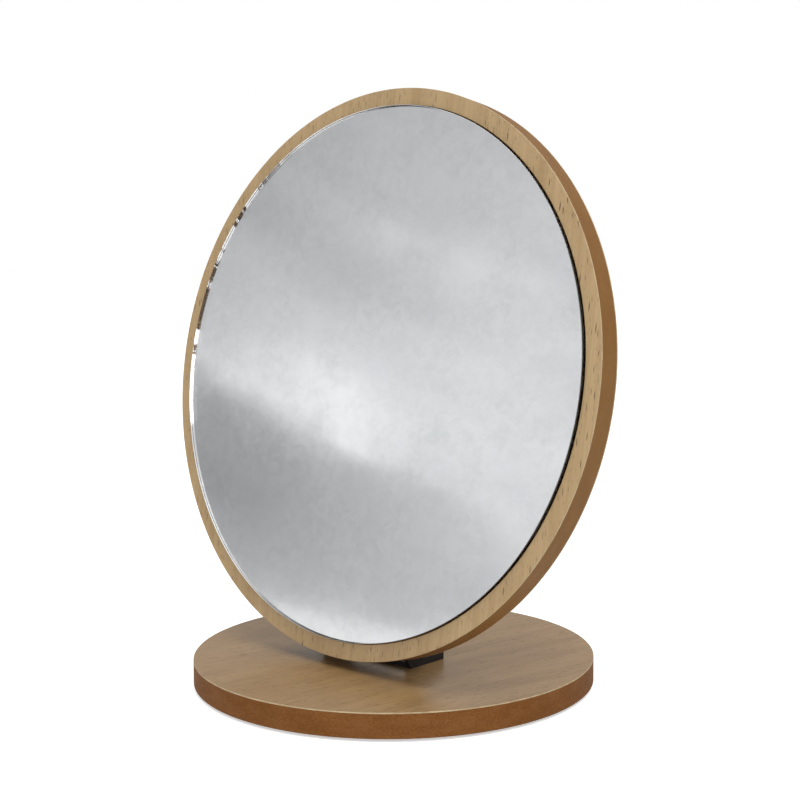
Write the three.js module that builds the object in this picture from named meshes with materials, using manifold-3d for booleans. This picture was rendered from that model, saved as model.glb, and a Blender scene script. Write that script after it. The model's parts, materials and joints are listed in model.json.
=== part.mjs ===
// A table mirror: a round mirror board that tilts on a friction hinge above a round base board.
// Millimetres. +Z is up, the mirror faces -Y, and the origin is on the table under the base's centre.
import * as THREE from "three";
import { mergeVertices } from "three/addons/utils/BufferGeometryUtils.js";
import Module from "manifold-3d";

const wasm = await Module();
wasm.setup();

// Base board
const BASE_DIAMETER = 150;
const BASE_CORE_THICKNESS = 8;
const BASE_LAMINATE = 0.5;

// Anti-slip pads under the base
const PAD_COUNT = 4;
const PAD_DIAMETER = 12;
const PAD_THICKNESS = 1;
const PAD_EDGE_MARGIN = 5;

// Mirror board
const MIRROR_DIAMETER = 208;
const MIRROR_THICKNESS = 9;
const MIRROR_LAMINATE = 0.5;
const MIRROR_RIM_WIDTH = 6.1;
const MIRROR_TILT_DEG = 9.3;

// Glass, its pocket in the mirror board, and the tape that holds it
const GLASS_THICKNESS = 2;
const GLASS_PROUD = 1.5;
const GLASS_ARRIS = 0.2;
const GLASS_CLEARANCE = 0.4;
const TAPE_THICKNESS = 0.8;
const TAPE_WIDTH = 25;
const TAPE_SIDE_MARGIN = 22;
const TAPE_END_MARGIN = 12;
const TAPE_COUNT = 4;

// Hinge line, and where the mirror board sits from it
const AXIS_Y = -13;
const AXIS_ABOVE_BASE = 9;
const BOARD_BEHIND_GAP = 8.1;
const BOARD_BELOW_AXIS = 8.1;

// Hinge bracket on the base
const BRACKET_WIDTH = 44;
const BRACKET_STEEL = 2;
const BRACKET_FRONT_Y = -14;
const BRACKET_DEPTH = 17.7;
const BRACKET_REAR_HEIGHT = 5.5;
const BRACKET_EAR_RADIUS = 5;

// Hinge leaf on the mirror's back
const LEAF_STEEL = 1.5;
const LEAF_EAR_RADIUS = 4.6;
const LEAF_TOP = 31;
const LEAF_CORNER = 5;
const LEAF_GUSSET_TOP = 11;

// Pin, washers, spring and nut
const PIN_DIAMETER = 4;
const PIN_HEAD_DIAMETER = 8;
const PIN_HEAD_HEIGHT = 2.2;
const PIN_PAST_NUT = 0.6;
const PIN_CLEARANCE = 0.1;
const WASHER_DIAMETER = 9;
const WASHER_THICKNESS = 0.8;
const FRICTION_WASHER_DIAMETER = 9.2;
const FRICTION_WASHER_THICKNESS = 0.8;
const SPRING_DIAMETER = 8.4;
const SPRING_STEEL = 0.5;
const SPRING_HEIGHT = 1;
const NUT_ACROSS_FLATS = 7;
const NUT_HEX_HEIGHT = 2.4;
const NUT_COLLAR_HEIGHT = 0.8;
const NUT_COLLAR_DIAMETER = 6.4;
const SPACER_DIAMETER = 7;

// Countersunk screws
const SCREW_DIAMETER = 3;
const SCREW_HEAD_DIAMETER = 5.6;
const SCREW_HEAD_LAND = 0.25;
const SCREW_POINT = 2;
const SCREW_CLEARANCE = 0.1;
const RECESS_WIDTH = 0.7;
const RECESS_SPAN = 3;
const RECESS_DEPTH = 1.1;
const BRACKET_SCREW_LENGTH = 8;
const BRACKET_SCREW_SPACING = 13;
const LEAF_SCREW_LENGTH = 6;
const LEAF_SCREW_HALF_SPACING = 11;
const LEAF_SCREW_HEIGHTS = [10, 24];

// Gaps
const LAYER_GAP = 0.05;
const MOVING_GAP = 0.05;
const HOLE_END_GAP = 0.4;

// Facets round a full circle
const BOARD_FACETS = 120;
const PAD_FACETS = 32;
const SMALL_FACETS = 24;

// Sizes that follow from the ones above
const TILT = THREE.MathUtils.degToRad(MIRROR_TILT_DEG);
const BASE_UNDERSIDE = PAD_THICKNESS;
const BASE_CORE_BOTTOM = BASE_UNDERSIDE + BASE_LAMINATE;
const BASE_CORE_TOP = BASE_CORE_BOTTOM + BASE_CORE_THICKNESS;
const BASE_TOP = BASE_CORE_TOP + BASE_LAMINATE;
const AXIS_Z = BASE_TOP + AXIS_ABOVE_BASE;
const PIN_RADIUS = PIN_DIAMETER / 2;
const PIN_HOLE = PIN_RADIUS + PIN_CLEARANCE;
const SCREW_RADIUS = SCREW_DIAMETER / 2;
const SCREW_HEAD_HEIGHT = SCREW_HEAD_LAND + (SCREW_HEAD_DIAMETER - SCREW_DIAMETER) / 2;
const BRACKET_HALF = BRACKET_WIDTH / 2;
const BRACKET_REAR_Y = BRACKET_FRONT_Y + BRACKET_DEPTH;
const EAR_INSIDE = BRACKET_HALF - BRACKET_STEEL;
const LEAF_HALF = EAR_INSIDE - FRICTION_WASHER_THICKNESS - MOVING_GAP;
const LEAF_EAR_INSIDE = LEAF_HALF - LEAF_STEEL;
const POCKET_RADIUS = MIRROR_DIAMETER / 2 - MIRROR_RIM_WIDTH;
const GLASS_RADIUS = POCKET_RADIUS - GLASS_CLEARANCE;
const GLASS_BACK = MIRROR_THICKNESS + GLASS_PROUD - GLASS_THICKNESS;
const POCKET_FLOOR = GLASS_BACK - TAPE_THICKNESS - 2 * LAYER_GAP;

const MATERIALS = {
  beech_laminate: { color: 0xc4a57b, roughness: 0.45, metalness: 0 },
  base_board: { color: 0x8a5c34, roughness: 0.8, metalness: 0 },
  mirror_board: { color: 0x8e6a45, roughness: 0.6, metalness: 0 },
  mirror_glass: { color: 0xc9ced2, roughness: 0.05, metalness: 1 },
  foam_tape: { color: 0xe6e4dc, roughness: 0.9, metalness: 0 },
  black_steel: { color: 0x17171a, roughness: 0.5, metalness: 0.4 },
  black_screw: { color: 0x1d1d20, roughness: 0.4, metalness: 0.6 },
  zinc_steel: { color: 0xa9abac, roughness: 0.35, metalness: 1 },
  nylon: { color: 0xe4e1d6, roughness: 0.5, metalness: 0 },
  soft_pad: { color: 0x2a2a2a, roughness: 0.9, metalness: 0 },
};

// Makes one named mesh with a material of its own.
function piece(name, geometry, finish) {
  const mesh = new THREE.Mesh(geometry, new THREE.MeshStandardMaterial(MATERIALS[finish]));
  mesh.name = name;
  return mesh;
}

// Turns a profile of [radius, height] points about Z.
function turned(profile, facets) {
  const points = profile.map(([radius, height]) => new THREE.Vector2(radius, height));
  return new THREE.LatheGeometry(points, facets).rotateX(Math.PI / 2);
}

// A disc about Z from one height to another.
function disc(radius, low, high, facets) {
  return turned([[0, low], [radius, low], [radius, high], [0, high]], facets);
}

// A flat ring about Z from one height to another.
function ring(inner, outer, low, high, facets) {
  return turned([[inner, low], [outer, low], [outer, high], [inner, high], [inner, low]], facets);
}

// The points of a circle, for an outline or a hole in one.
function circlePoints(x, y, radius, facets) {
  const points = [];
  for (let i = 0; i < facets; i += 1) {
    const angle = (2 * Math.PI * i) / facets;
    points.push(new THREE.Vector2(x + radius * Math.cos(angle), y + radius * Math.sin(angle)));
  }
  return points;
}

// A thin round sheet about Z with round holes through it.
function sheetWithHoles(radius, thickness, centres, holeRadius) {
  const outline = new THREE.Shape(circlePoints(0, 0, radius, BOARD_FACETS));
  for (const [x, y] of centres) {
    outline.holes.push(new THREE.Path(circlePoints(x, y, holeRadius, SMALL_FACETS)));
  }
  return new THREE.ExtrudeGeometry(outline, { depth: thickness, bevelEnabled: false });
}

// A closed geometry as a solid that can be joined and cut.
function solid(geometry) {
  const bare = geometry.clone();
  bare.deleteAttribute("normal");
  bare.deleteAttribute("uv");
  const merged = mergeVertices(bare, 1e-4);
  return new wasm.Manifold(
    new wasm.Mesh({
      numProp: 3,
      vertProperties: merged.attributes.position.array,
      triVerts: new Uint32Array(merged.index.array),
    }),
  );
}

// A solid as a geometry again.
function geometryOf(body) {
  const mesh = body.getMesh();
  const geometry = new THREE.BufferGeometry();
  geometry.setAttribute("position", new THREE.BufferAttribute(mesh.vertProperties, 3));
  geometry.setIndex(new THREE.BufferAttribute(mesh.triVerts, 1));
  const flat = geometry.toNonIndexed();
  flat.computeVertexNormals();
  return flat;
}

// The first geometry with the others cut out of it.
function cut(geometry, cutters) {
  return geometryOf(cutters.reduce((body, cutter) => body.subtract(solid(cutter)), solid(geometry)));
}

// All the geometries joined into one.
function joined(geometries) {
  return geometryOf(geometries.map(solid).reduce((body, next) => body.add(next)));
}

// Where a line from a point touches a circle, as an angle round the circle's centre.
// side is 1 for the touching point on the left of the way from the point to the centre, -1 for the right.
function tangentAngle(centre, radius, point, side) {
  const toPoint = Math.atan2(point.y - centre.y, point.x - centre.x);
  const spread = Math.acos(radius / centre.distanceTo(point));
  return toPoint - side * spread;
}

// A plate in the Y-Z plane, from one X to another, from its outline of (y, z) points.
function sidePlate(outline, fromX, toX) {
  const geometry = new THREE.ExtrudeGeometry(outline, {
    depth: toX - fromX,
    bevelEnabled: false,
    curveSegments: SMALL_FACETS,
  });
  // The outline's x, y and depth become Y, Z and X.
  const turn = new THREE.Matrix4().makeBasis(
    new THREE.Vector3(0, 1, 0),
    new THREE.Vector3(0, 0, 1),
    new THREE.Vector3(1, 0, 0),
  );
  return geometry.applyMatrix4(turn).translate(fromX, 0, 0);
}

// A cylinder along X, for the pin's holes.
function crossCylinder(radius, fromX, toX) {
  return disc(radius, fromX, toX, SMALL_FACETS).rotateY(Math.PI / 2);
}

// ---- Screws. Each stands on Z with its head's flat top at 0 and its point below.

// Half the profile of a countersunk screw, or of the hole that clears it by a gap.
function screwProfile(length, pointed, gap) {
  const shank = SCREW_RADIUS + gap;
  const tip = -length - (pointed ? 0 : HOLE_END_GAP);
  const shankEnd = pointed ? tip + SCREW_POINT : tip;
  return [
    [0, tip],
    ...(pointed ? [] : [[shank, tip]]),
    [shank, shankEnd],
    [shank, -SCREW_HEAD_HEIGHT],
    [SCREW_HEAD_DIAMETER / 2 + gap, -SCREW_HEAD_LAND],
    [SCREW_HEAD_DIAMETER / 2 + gap, 0],
    [0, 0],
  ].filter(([radius, height], i, all) => i === 0 || all[i - 1][0] !== radius || all[i - 1][1] !== height);
}

// A screw with a cross recess in its head.
function screw(length) {
  const slots = [0, Math.PI / 2].map((turn) =>
    new THREE.BoxGeometry(RECESS_SPAN, RECESS_WIDTH, 2 * RECESS_DEPTH).rotateZ(turn),
  );
  return cut(turned(screwProfile(length, true, 0), SMALL_FACETS), [joined(slots)]);
}

// What a screw of that length takes out of the plate and board it goes through.
function screwHole(length) {
  const above = disc(SCREW_HEAD_DIAMETER / 2 + SCREW_CLEARANCE, -SCREW_HEAD_LAND / 2, 1, SMALL_FACETS);
  return joined([turned(screwProfile(length, false, SCREW_CLEARANCE), SMALL_FACETS), above]);
}

// ---- Base, in the row's own frame

function bracketScrewCentres() {
  const middle = BRACKET_FRONT_Y + BRACKET_DEPTH / 2;
  return [-1, 0, 1].map((i) => [i * BRACKET_SCREW_SPACING, middle]);
}

function bracketScrewHoles() {
  return bracketScrewCentres().map(([x, y]) =>
    screwHole(BRACKET_SCREW_LENGTH).translate(x, y, BASE_TOP + BRACKET_STEEL),
  );
}

function baseCore() {
  const board = disc(BASE_DIAMETER / 2, BASE_CORE_BOTTOM, BASE_CORE_TOP, BOARD_FACETS);
  return piece("base_core", cut(board, bracketScrewHoles()), "base_board");
}

function baseTopLaminate() {
  const holeRadius = SCREW_RADIUS + SCREW_CLEARANCE;
  const sheet = sheetWithHoles(BASE_DIAMETER / 2, BASE_LAMINATE, bracketScrewCentres(), holeRadius);
  return piece("base_top_laminate", sheet.translate(0, 0, BASE_CORE_TOP), "beech_laminate");
}

function baseBottomLaminate() {
  const sheet = disc(BASE_DIAMETER / 2, BASE_UNDERSIDE, BASE_CORE_BOTTOM, BOARD_FACETS);
  return piece("base_bottom_laminate", sheet, "beech_laminate");
}

function basePads() {
  const reach = BASE_DIAMETER / 2 - PAD_EDGE_MARGIN - PAD_DIAMETER / 2;
  const pads = [];
  for (let i = 0; i < PAD_COUNT; i += 1) {
    const angle = (2 * Math.PI * i) / PAD_COUNT - Math.PI / 2;
    const pad = piece(`base_pad_${i + 1}`, disc(PAD_DIAMETER / 2, 0, PAD_THICKNESS, PAD_FACETS), "soft_pad");
    pad.position.set(reach * Math.cos(angle), reach * Math.sin(angle), 0);
    pads.push(pad);
  }
  return pads;
}

// The bracket's ear rises from its foot to the round end that holds the pin.
function bracketEarOutline() {
  const centre = new THREE.Vector2(AXIS_Y, AXIS_Z);
  const frontFoot = new THREE.Vector2(BRACKET_FRONT_Y, BASE_TOP);
  const rearShoulder = new THREE.Vector2(BRACKET_REAR_Y, BASE_TOP + BRACKET_REAR_HEIGHT);
  const top = tangentAngle(centre, BRACKET_EAR_RADIUS, rearShoulder, -1);
  const bottom = tangentAngle(centre, BRACKET_EAR_RADIUS, frontFoot, 1);
  const outline = new THREE.Shape();
  outline.moveTo(frontFoot.x, frontFoot.y);
  outline.lineTo(BRACKET_REAR_Y, BASE_TOP);
  outline.lineTo(rearShoulder.x, rearShoulder.y);
  outline.absarc(centre.x, centre.y, BRACKET_EAR_RADIUS, top, bottom, false);
  outline.closePath();
  return outline;
}

function hingeBracket() {
  const foot = new THREE.BoxGeometry(BRACKET_WIDTH, BRACKET_DEPTH, BRACKET_STEEL);
  foot.translate(0, BRACKET_FRONT_Y + BRACKET_DEPTH / 2, BASE_TOP + BRACKET_STEEL / 2);
  const ears = [-BRACKET_HALF, EAR_INSIDE].map((x) => sidePlate(bracketEarOutline(), x, x + BRACKET_STEEL));
  const pinHole = crossCylinder(PIN_HOLE, -BRACKET_WIDTH, BRACKET_WIDTH).translate(0, AXIS_Y, AXIS_Z);
  return piece("hinge_bracket", cut(joined([foot, ...ears]), [pinHole, ...bracketScrewHoles()]), "black_steel");
}

function bracketScrews() {
  const sides = ["left", "middle", "right"];
  return bracketScrewCentres().map(([x, y], i) => {
    const made = piece(`bracket_screw_${sides[i]}`, screw(BRACKET_SCREW_LENGTH), "black_screw");
    made.position.set(x, y, BASE_TOP + BRACKET_STEEL);
    return made;
  });
}

// ---- Pin and what is threaded on it. The group's Z lies along the row's X.

const RIGHT_SPRING = BRACKET_HALF;
const RIGHT_WASHER = RIGHT_SPRING + SPRING_HEIGHT;
const NUT_START = RIGHT_WASHER + WASHER_THICKNESS;
const NUT_COLLAR_START = NUT_START + NUT_HEX_HEIGHT;
const NUT_END = NUT_COLLAR_START + NUT_COLLAR_HEIGHT;
const LEFT_WASHER = -BRACKET_HALF - WASHER_THICKNESS;

function hingePin() {
  const low = LEFT_WASHER - PIN_HEAD_HEIGHT;
  const end = NUT_END + PIN_PAST_NUT;
  const headRadius = PIN_HEAD_DIAMETER / 2;
  const profile = [
    [0, low],
    [headRadius * 0.62, low + PIN_HEAD_HEIGHT * 0.1],
    [headRadius * 0.9, low + PIN_HEAD_HEIGHT * 0.42],
    [headRadius, LEFT_WASHER - PIN_HEAD_HEIGHT * 0.25],
    [headRadius, LEFT_WASHER],
    [PIN_RADIUS, LEFT_WASHER],
    [PIN_RADIUS, end - PIN_PAST_NUT / 2],
    [PIN_RADIUS - PIN_PAST_NUT / 2, end],
    [0, end],
  ];
  return piece("hinge_pin", turned(profile, SMALL_FACETS), "zinc_steel");
}

function flatWasher(name, start) {
  const geometry = ring(PIN_HOLE, WASHER_DIAMETER / 2, start, start + WASHER_THICKNESS, SMALL_FACETS);
  return piece(name, geometry, "zinc_steel");
}

function frictionWasher(name, start) {
  const outer = FRICTION_WASHER_DIAMETER / 2;
  return piece(name, ring(PIN_HOLE, outer, start, start + FRICTION_WASHER_THICKNESS, SMALL_FACETS), "nylon");
}

// A dished washer: its rim bears on the ear and its middle on the flat washer.
function discSpring() {
  const outer = SPRING_DIAMETER / 2;
  const rise = SPRING_HEIGHT - SPRING_STEEL;
  const profile = [
    [PIN_HOLE, RIGHT_SPRING + rise],
    [outer, RIGHT_SPRING],
    [outer, RIGHT_SPRING + SPRING_STEEL],
    [PIN_HOLE, RIGHT_SPRING + SPRING_HEIGHT],
    [PIN_HOLE, RIGHT_SPRING + rise],
  ];
  return piece("disc_spring", turned(profile, SMALL_FACETS), "zinc_steel");
}

function lockNut() {
  const hexagon = new THREE.Shape(circlePoints(0, 0, NUT_ACROSS_FLATS / Math.sqrt(3), 6));
  const body = new THREE.ExtrudeGeometry(hexagon, { depth: NUT_HEX_HEIGHT, bevelEnabled: false });
  const collar = disc(NUT_COLLAR_DIAMETER / 2, NUT_COLLAR_START - NUT_HEX_HEIGHT / 2, NUT_END, SMALL_FACETS);
  const bore = disc(PIN_HOLE, NUT_START - 1, NUT_END + 1, SMALL_FACETS);
  return piece("lock_nut", cut(joined([body.translate(0, 0, NUT_START), collar]), [bore]), "zinc_steel");
}

// Clamped between the leaf's ears, so it turns with the mirror.
function spacerTube() {
  const end = LEAF_EAR_INSIDE - MOVING_GAP;
  return piece("spacer_tube", ring(PIN_HOLE, SPACER_DIAMETER / 2, -end, end, SMALL_FACETS), "zinc_steel");
}

function pinStack() {
  const stack = new THREE.Group();
  stack.position.set(0, AXIS_Y, AXIS_Z);
  stack.rotation.y = Math.PI / 2;
  stack.add(hingePin());
  stack.add(flatWasher("pin_washer", LEFT_WASHER));
  stack.add(frictionWasher("friction_washer_left", -EAR_INSIDE));
  stack.add(frictionWasher("friction_washer_right", EAR_INSIDE - FRICTION_WASHER_THICKNESS));
  stack.add(discSpring());
  stack.add(flatWasher("nut_washer", RIGHT_WASHER));
  stack.add(lockNut());
  return stack;
}

// ---- Mirror board and glass. The group's Z points out of the mirror's face and its Y up the
// ---- board, with its origin at the centre of the board's back.

const CENTRE_ABOVE_AXIS = MIRROR_DIAMETER / 2 - BOARD_BELOW_AXIS;
const BACK_LAMINATE_FACE = MIRROR_LAMINATE + LAYER_GAP;
const FRONT_LAMINATE_BACK = MIRROR_THICKNESS - MIRROR_LAMINATE;

function leafScrewCentres() {
  return LEAF_SCREW_HEIGHTS.flatMap((height) =>
    [-1, 1].map((side) => [side * LEAF_SCREW_HALF_SPACING, height - CENTRE_ABOVE_AXIS]),
  );
}

// The head sits in the leaf's outer face, behind the board, and the point goes in towards the front.
function leafScrewPlace(made, [x, y]) {
  return made.rotateX(Math.PI).translate(x, y, -LAYER_GAP - LEAF_STEEL);
}

function mirrorBoard() {
  const radius = MIRROR_DIAMETER / 2;
  const front = FRONT_LAMINATE_BACK - LAYER_GAP;
  const dish = turned(
    [
      [0, BACK_LAMINATE_FACE],
      [radius, BACK_LAMINATE_FACE],
      [radius, front],
      [POCKET_RADIUS, front],
      [POCKET_RADIUS, POCKET_FLOOR],
      [0, POCKET_FLOOR],
    ],
    BOARD_FACETS,
  );
  const holes = leafScrewCentres().map((centre) => leafScrewPlace(screwHole(LEAF_SCREW_LENGTH), centre));
  return piece("mirror_board", cut(dish, holes), "mirror_board");
}

function mirrorFrontLaminate() {
  const geometry = ring(
    POCKET_RADIUS,
    MIRROR_DIAMETER / 2,
    FRONT_LAMINATE_BACK,
    MIRROR_THICKNESS,
    BOARD_FACETS,
  );
  return piece("mirror_front_laminate", geometry, "beech_laminate");
}

function mirrorBackLaminate() {
  const holeRadius = SCREW_RADIUS + SCREW_CLEARANCE;
  const sheet = sheetWithHoles(MIRROR_DIAMETER / 2, MIRROR_LAMINATE, leafScrewCentres(), holeRadius);
  return piece("mirror_back_laminate", sheet, "beech_laminate");
}

function mirrorGlass() {
  const front = GLASS_BACK + GLASS_THICKNESS;
  const profile = [
    [0, GLASS_BACK],
    [GLASS_RADIUS, GLASS_BACK],
    [GLASS_RADIUS, front - GLASS_ARRIS],
    [GLASS_RADIUS - GLASS_ARRIS, front],
    [0, front],
  ];
  return piece("mirror_glass", turned(profile, BOARD_FACETS), "mirror_glass");
}

// Upright strips between the pocket's floor and the glass, each as long as its place allows.
function glassTapes() {
  const low = POCKET_FLOOR + LAYER_GAP;
  const reach = GLASS_RADIUS - TAPE_END_MARGIN;
  const outermost = GLASS_RADIUS - TAPE_SIDE_MARGIN - TAPE_WIDTH / 2;
  const tapes = [];
  for (let i = 0; i < TAPE_COUNT; i += 1) {
    const x = outermost * ((2 * i) / (TAPE_COUNT - 1) - 1);
    const outerEdge = Math.abs(x) + TAPE_WIDTH / 2;
    const length = 2 * Math.sqrt(reach ** 2 - outerEdge ** 2);
    const strip = new THREE.BoxGeometry(TAPE_WIDTH, length, TAPE_THICKNESS);
    strip.translate(x, 0, low + TAPE_THICKNESS / 2);
    tapes.push(piece(`glass_tape_${i + 1}`, strip, "foam_tape"));
  }
  return tapes;
}

function leafScrews() {
  return leafScrewCentres().map((centre, i) =>
    piece(`leaf_screw_${i + 1}`, leafScrewPlace(screw(LEAF_SCREW_LENGTH), centre), "black_screw"),
  );
}

// ---- Hinge leaf. Its frame is the tilted one: Z up the board, Y out of its back, origin on the hinge line.

const LEAF_FRONT_Y = -BOARD_BEHIND_GAP + LAYER_GAP;

// The plate's outline, seen from behind, with rounded top corners.
function leafPlate() {
  const outline = new THREE.Shape();
  outline.moveTo(-LEAF_HALF, -LEAF_EAR_RADIUS);
  outline.lineTo(LEAF_HALF, -LEAF_EAR_RADIUS);
  outline.lineTo(LEAF_HALF, LEAF_TOP - LEAF_CORNER);
  outline.absarc(LEAF_HALF - LEAF_CORNER, LEAF_TOP - LEAF_CORNER, LEAF_CORNER, 0, Math.PI / 2, false);
  outline.lineTo(LEAF_CORNER - LEAF_HALF, LEAF_TOP);
  outline.absarc(LEAF_CORNER - LEAF_HALF, LEAF_TOP - LEAF_CORNER, LEAF_CORNER, Math.PI / 2, Math.PI, false);
  outline.closePath();
  const plate = new THREE.ExtrudeGeometry(outline, {
    depth: LEAF_STEEL,
    bevelEnabled: false,
    curveSegments: SMALL_FACETS / 4,
  });
  // Extruded towards -Y, so that the far side is the face on the board.
  return plate.rotateX(Math.PI / 2).translate(0, LEAF_FRONT_Y + LEAF_STEEL, 0);
}

// The ear runs back from the plate to the pin, with a sloping gusset above.
function leafEarOutline() {
  const centre = new THREE.Vector2(0, 0);
  const gusset = new THREE.Vector2(LEAF_FRONT_Y, LEAF_GUSSET_TOP);
  const top = tangentAngle(centre, LEAF_EAR_RADIUS, gusset, 1);
  const outline = new THREE.Shape();
  outline.moveTo(gusset.x, gusset.y);
  outline.lineTo(gusset.x, -LEAF_EAR_RADIUS);
  outline.lineTo(0, -LEAF_EAR_RADIUS);
  outline.absarc(0, 0, LEAF_EAR_RADIUS, -Math.PI / 2, top, false);
  outline.closePath();
  return outline;
}

function hingeLeaf() {
  const ears = [-LEAF_HALF, LEAF_EAR_INSIDE].map((x) => sidePlate(leafEarOutline(), x, x + LEAF_STEEL));
  const pinHole = crossCylinder(PIN_HOLE, -LEAF_HALF - 1, LEAF_HALF + 1);
  const screwHoles = leafScrewCentres().map(([x, y]) =>
    screwHole(LEAF_SCREW_LENGTH)
      .rotateX(-Math.PI / 2)
      .translate(x, LEAF_FRONT_Y + LEAF_STEEL, y + CENTRE_ABOVE_AXIS),
  );
  return piece("hinge_leaf", cut(joined([leafPlate(), ...ears]), [pinHole, ...screwHoles]), "black_steel");
}

function mirrorAssembly() {
  const board = new THREE.Group();
  board.rotation.x = Math.PI / 2;
  board.position.set(0, -BOARD_BEHIND_GAP, CENTRE_ABOVE_AXIS);
  board.add(mirrorBoard());
  board.add(mirrorFrontLaminate());
  board.add(mirrorBackLaminate());
  board.add(mirrorGlass());
  board.add(...glassTapes());
  board.add(...leafScrews());

  const spacer = spacerTube();
  spacer.rotation.y = Math.PI / 2;

  const tilted = new THREE.Group();
  tilted.position.set(0, AXIS_Y, AXIS_Z);
  tilted.rotation.x = -TILT;
  tilted.add(board);
  tilted.add(hingeLeaf());
  tilted.add(spacer);
  return tilted;
}

function baseAssembly() {
  const base = new THREE.Group();
  base.add(baseCore());
  base.add(baseTopLaminate());
  base.add(baseBottomLaminate());
  base.add(...basePads());
  base.add(hingeBracket());
  base.add(...bracketScrews());
  base.add(pinStack());
  return base;
}

const tableMirror = new THREE.Group();
tableMirror.add(baseAssembly());
tableMirror.add(mirrorAssembly());

export default tableMirror;
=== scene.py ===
"""Looks of a table mirror: a round glass in a beech-faced board on a friction hinge, above a round base."""
import json
import logging
import math
from dataclasses import dataclass
from enum import Enum
from typing import Callable, Iterable

import bmesh
import bpy
from mathutils import Euler, Matrix, Quaternion, Vector


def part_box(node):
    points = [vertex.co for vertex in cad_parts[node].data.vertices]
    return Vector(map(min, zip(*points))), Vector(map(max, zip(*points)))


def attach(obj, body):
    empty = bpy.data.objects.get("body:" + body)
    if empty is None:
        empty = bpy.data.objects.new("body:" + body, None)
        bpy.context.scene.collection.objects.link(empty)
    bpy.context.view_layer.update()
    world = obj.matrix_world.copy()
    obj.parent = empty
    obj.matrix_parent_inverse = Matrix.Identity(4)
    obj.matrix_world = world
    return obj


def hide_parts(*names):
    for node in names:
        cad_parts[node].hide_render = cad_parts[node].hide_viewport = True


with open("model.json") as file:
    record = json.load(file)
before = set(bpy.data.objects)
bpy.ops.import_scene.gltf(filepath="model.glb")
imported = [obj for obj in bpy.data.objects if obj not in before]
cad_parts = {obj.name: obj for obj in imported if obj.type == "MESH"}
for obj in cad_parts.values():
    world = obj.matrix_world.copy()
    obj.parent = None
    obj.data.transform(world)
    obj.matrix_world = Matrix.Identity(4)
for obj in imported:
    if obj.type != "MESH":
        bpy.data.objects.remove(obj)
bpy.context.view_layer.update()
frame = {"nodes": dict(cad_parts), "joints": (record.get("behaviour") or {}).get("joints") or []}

LOG = logging.getLogger("table_mirror")
MM = 0.001
ROUNDING_STEPS = 3
SAME_PLACE = 1e-7

Colour = tuple[float, float, float]
Triple = tuple[float, float, float]
Socket = bpy.types.NodeSocket


# ---------------------------------------------------------------- node sheets


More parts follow.
